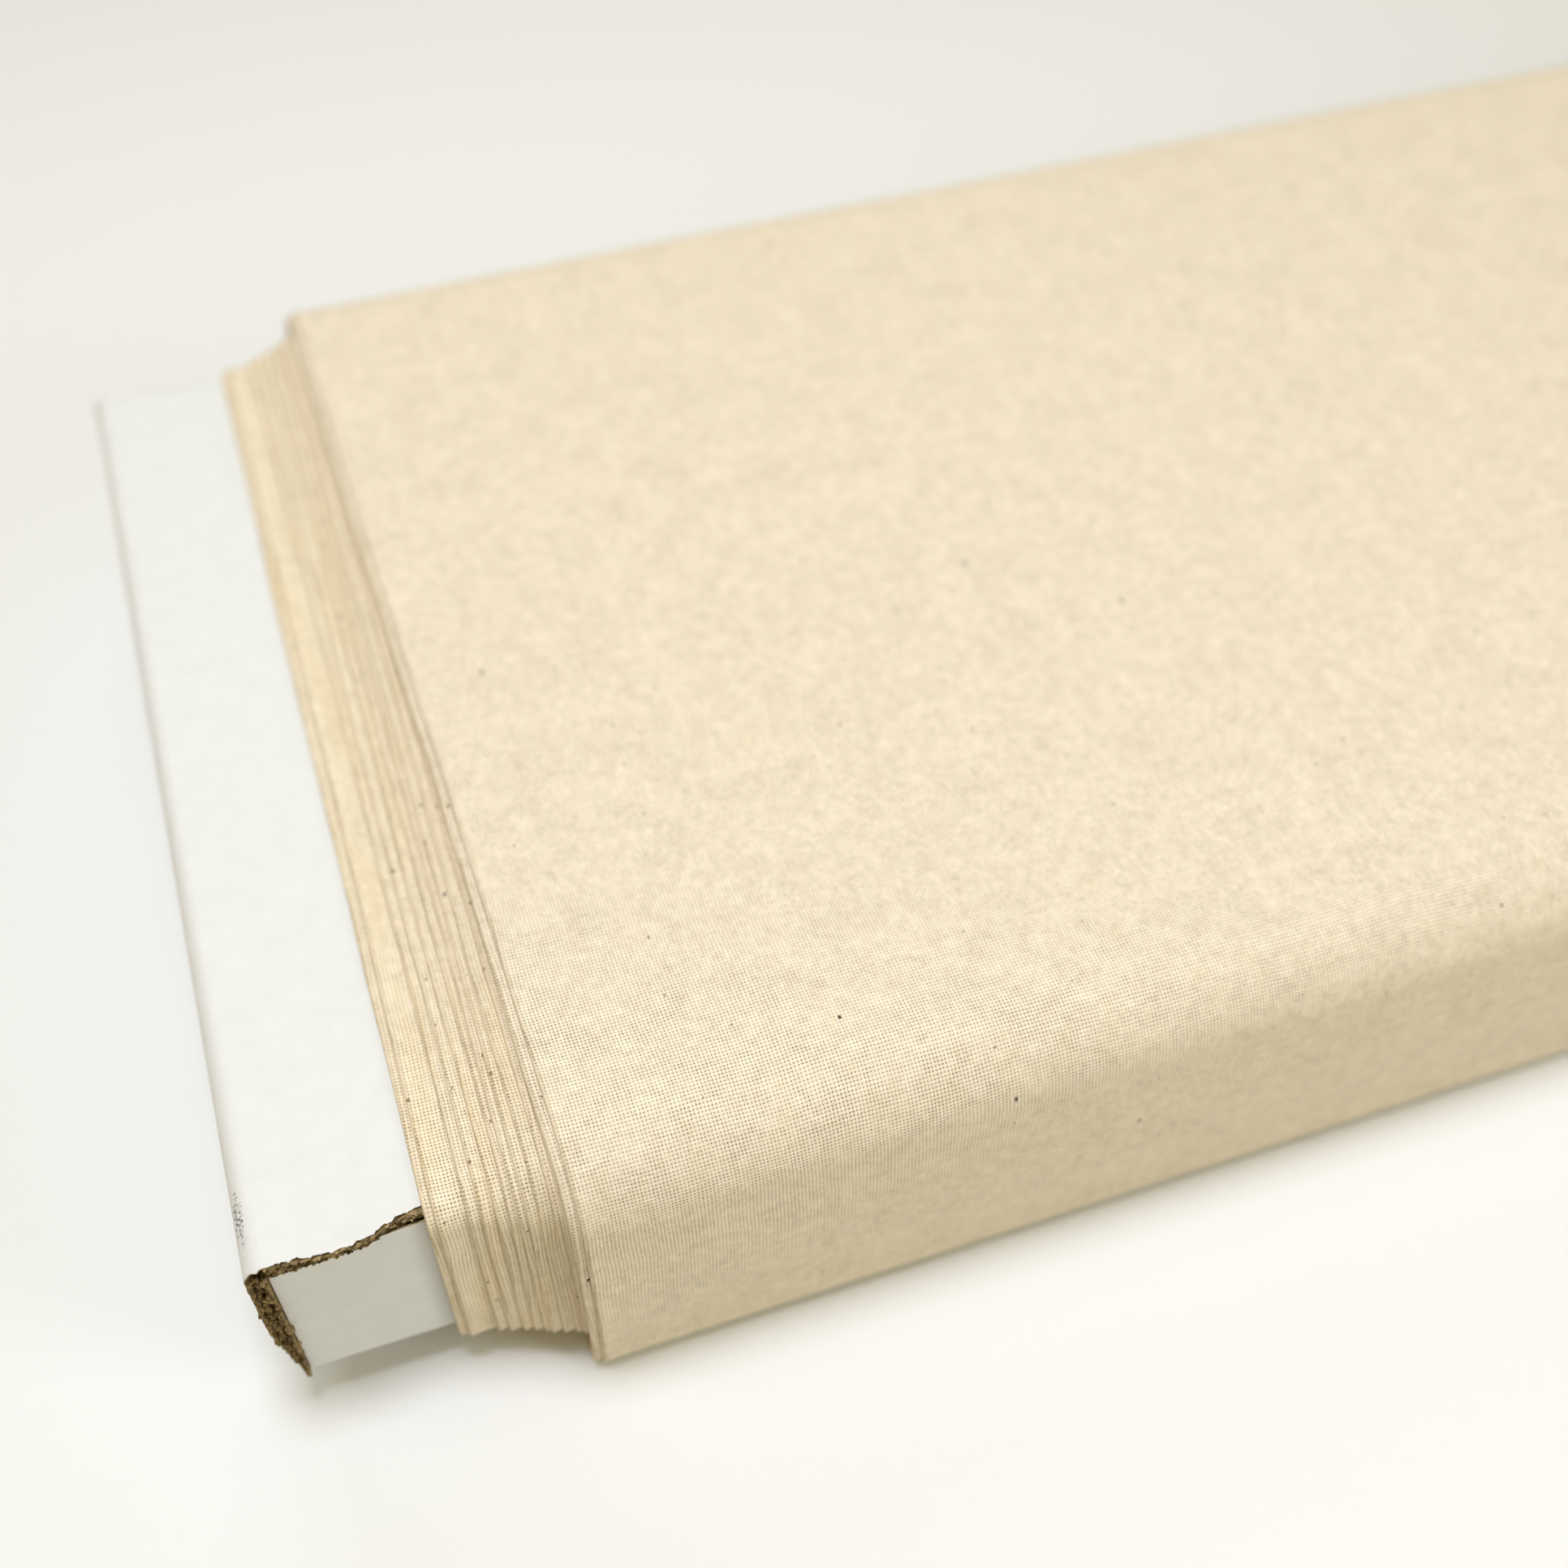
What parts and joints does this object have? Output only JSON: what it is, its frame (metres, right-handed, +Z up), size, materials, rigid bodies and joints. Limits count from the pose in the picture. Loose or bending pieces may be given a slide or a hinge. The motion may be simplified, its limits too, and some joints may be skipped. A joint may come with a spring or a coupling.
{
  "type": "fabric bolt",
  "caption": "Plain cotton cloth folded double and wound flat round a hollow white-faced corrugated board, with end flaps and a free cloth end.",
  "frame": {"origin": "middle of the underside, on the surface the bolt rests on", "axes": "+X along the bolt from the end with the wide bare board to the other, +Y across it from the tucked flange to the spine, +Z up"},
  "size_m": [0.61, 0.2222, 0.0572],
  "materials": {
    "cotton_cloth": "unbleached plain weave with seed flecks",
    "white_liner": "matt white paper face",
    "kraft_paper": "raw brown kraft, torn along the cut edges"
  },
  "bodies": {
    "wound_cloth": {"cloth_turn_01": "cotton_cloth", "cloth_turn_02": "cotton_cloth", "cloth_turn_03": "cotton_cloth", "cloth_turn_04": "cotton_cloth", "cloth_turn_05": "cotton_cloth", "cloth_turn_06": "cotton_cloth", "cloth_turn_07": "cotton_cloth", "cloth_turn_08": "cotton_cloth", "cloth_turn_09": "cotton_cloth", "cloth_turn_10": "cotton_cloth", "cloth_turn_11": "cotton_cloth", "cloth_turn_12": "cotton_cloth", "cloth_turn_13": "cotton_cloth"},
    "loose_turns": {"cloth_turn_14": "cotton_cloth", "cloth_turn_15": "cotton_cloth"},
    "front_drop": {"cloth_front_drop": "cotton_cloth"},
    "tail": {"cloth_tail": "cotton_cloth"},
    "board": {"board_outer_liner": "white_liner", "board_inner_liner": "kraft_paper", "top_fluting": "kraft_paper", "bottom_fluting": "kraft_paper", "back_fluting": "kraft_paper", "flange_fluting": "kraft_paper"},
    "left_flap": {"left_flap_outer_liner": "white_liner", "left_flap_fluting": "kraft_paper", "left_flap_inner_liner": "kraft_paper"},
    "right_flap": {"right_flap_outer_liner": "white_liner", "right_flap_fluting": "kraft_paper", "right_flap_inner_liner": "kraft_paper"}
  },
  "joints": [
    {"name": "board_draw", "type": "slide", "parent": "wound_cloth", "child": "board", "axis": [1, 0, 0], "range_m": [-0.02, 0.02]},
    {"name": "loose_turns_shift", "type": "slide", "parent": "wound_cloth", "child": "loose_turns", "axis": [1, 0, 0], "range_m": [-0.004, 0.004]},
    {"name": "front_lift", "type": "hinge", "parent": "loose_turns", "child": "front_drop", "pos_m": [0, -0.10829, 0.05439], "axis": [-1, 0, 0], "range_deg": [0, 90]},
    {"name": "tail_unfold", "type": "hinge", "parent": "front_drop", "child": "tail", "pos_m": [0, -0.10999, 0.00111], "axis": [-1, 0, 0], "range_deg": [0, 180]},
    {"name": "left_flap_open", "type": "hinge", "parent": "board", "child": "left_flap", "pos_m": [-0.30435, 0, 0.04695], "axis": [0, 1, 0], "range_deg": [0, 90]},
    {"name": "right_flap_open", "type": "hinge", "parent": "board", "child": "right_flap", "pos_m": [0.30435, 0, 0.04695], "axis": [0, -1, 0], "range_deg": [0, 90]}
  ]
}
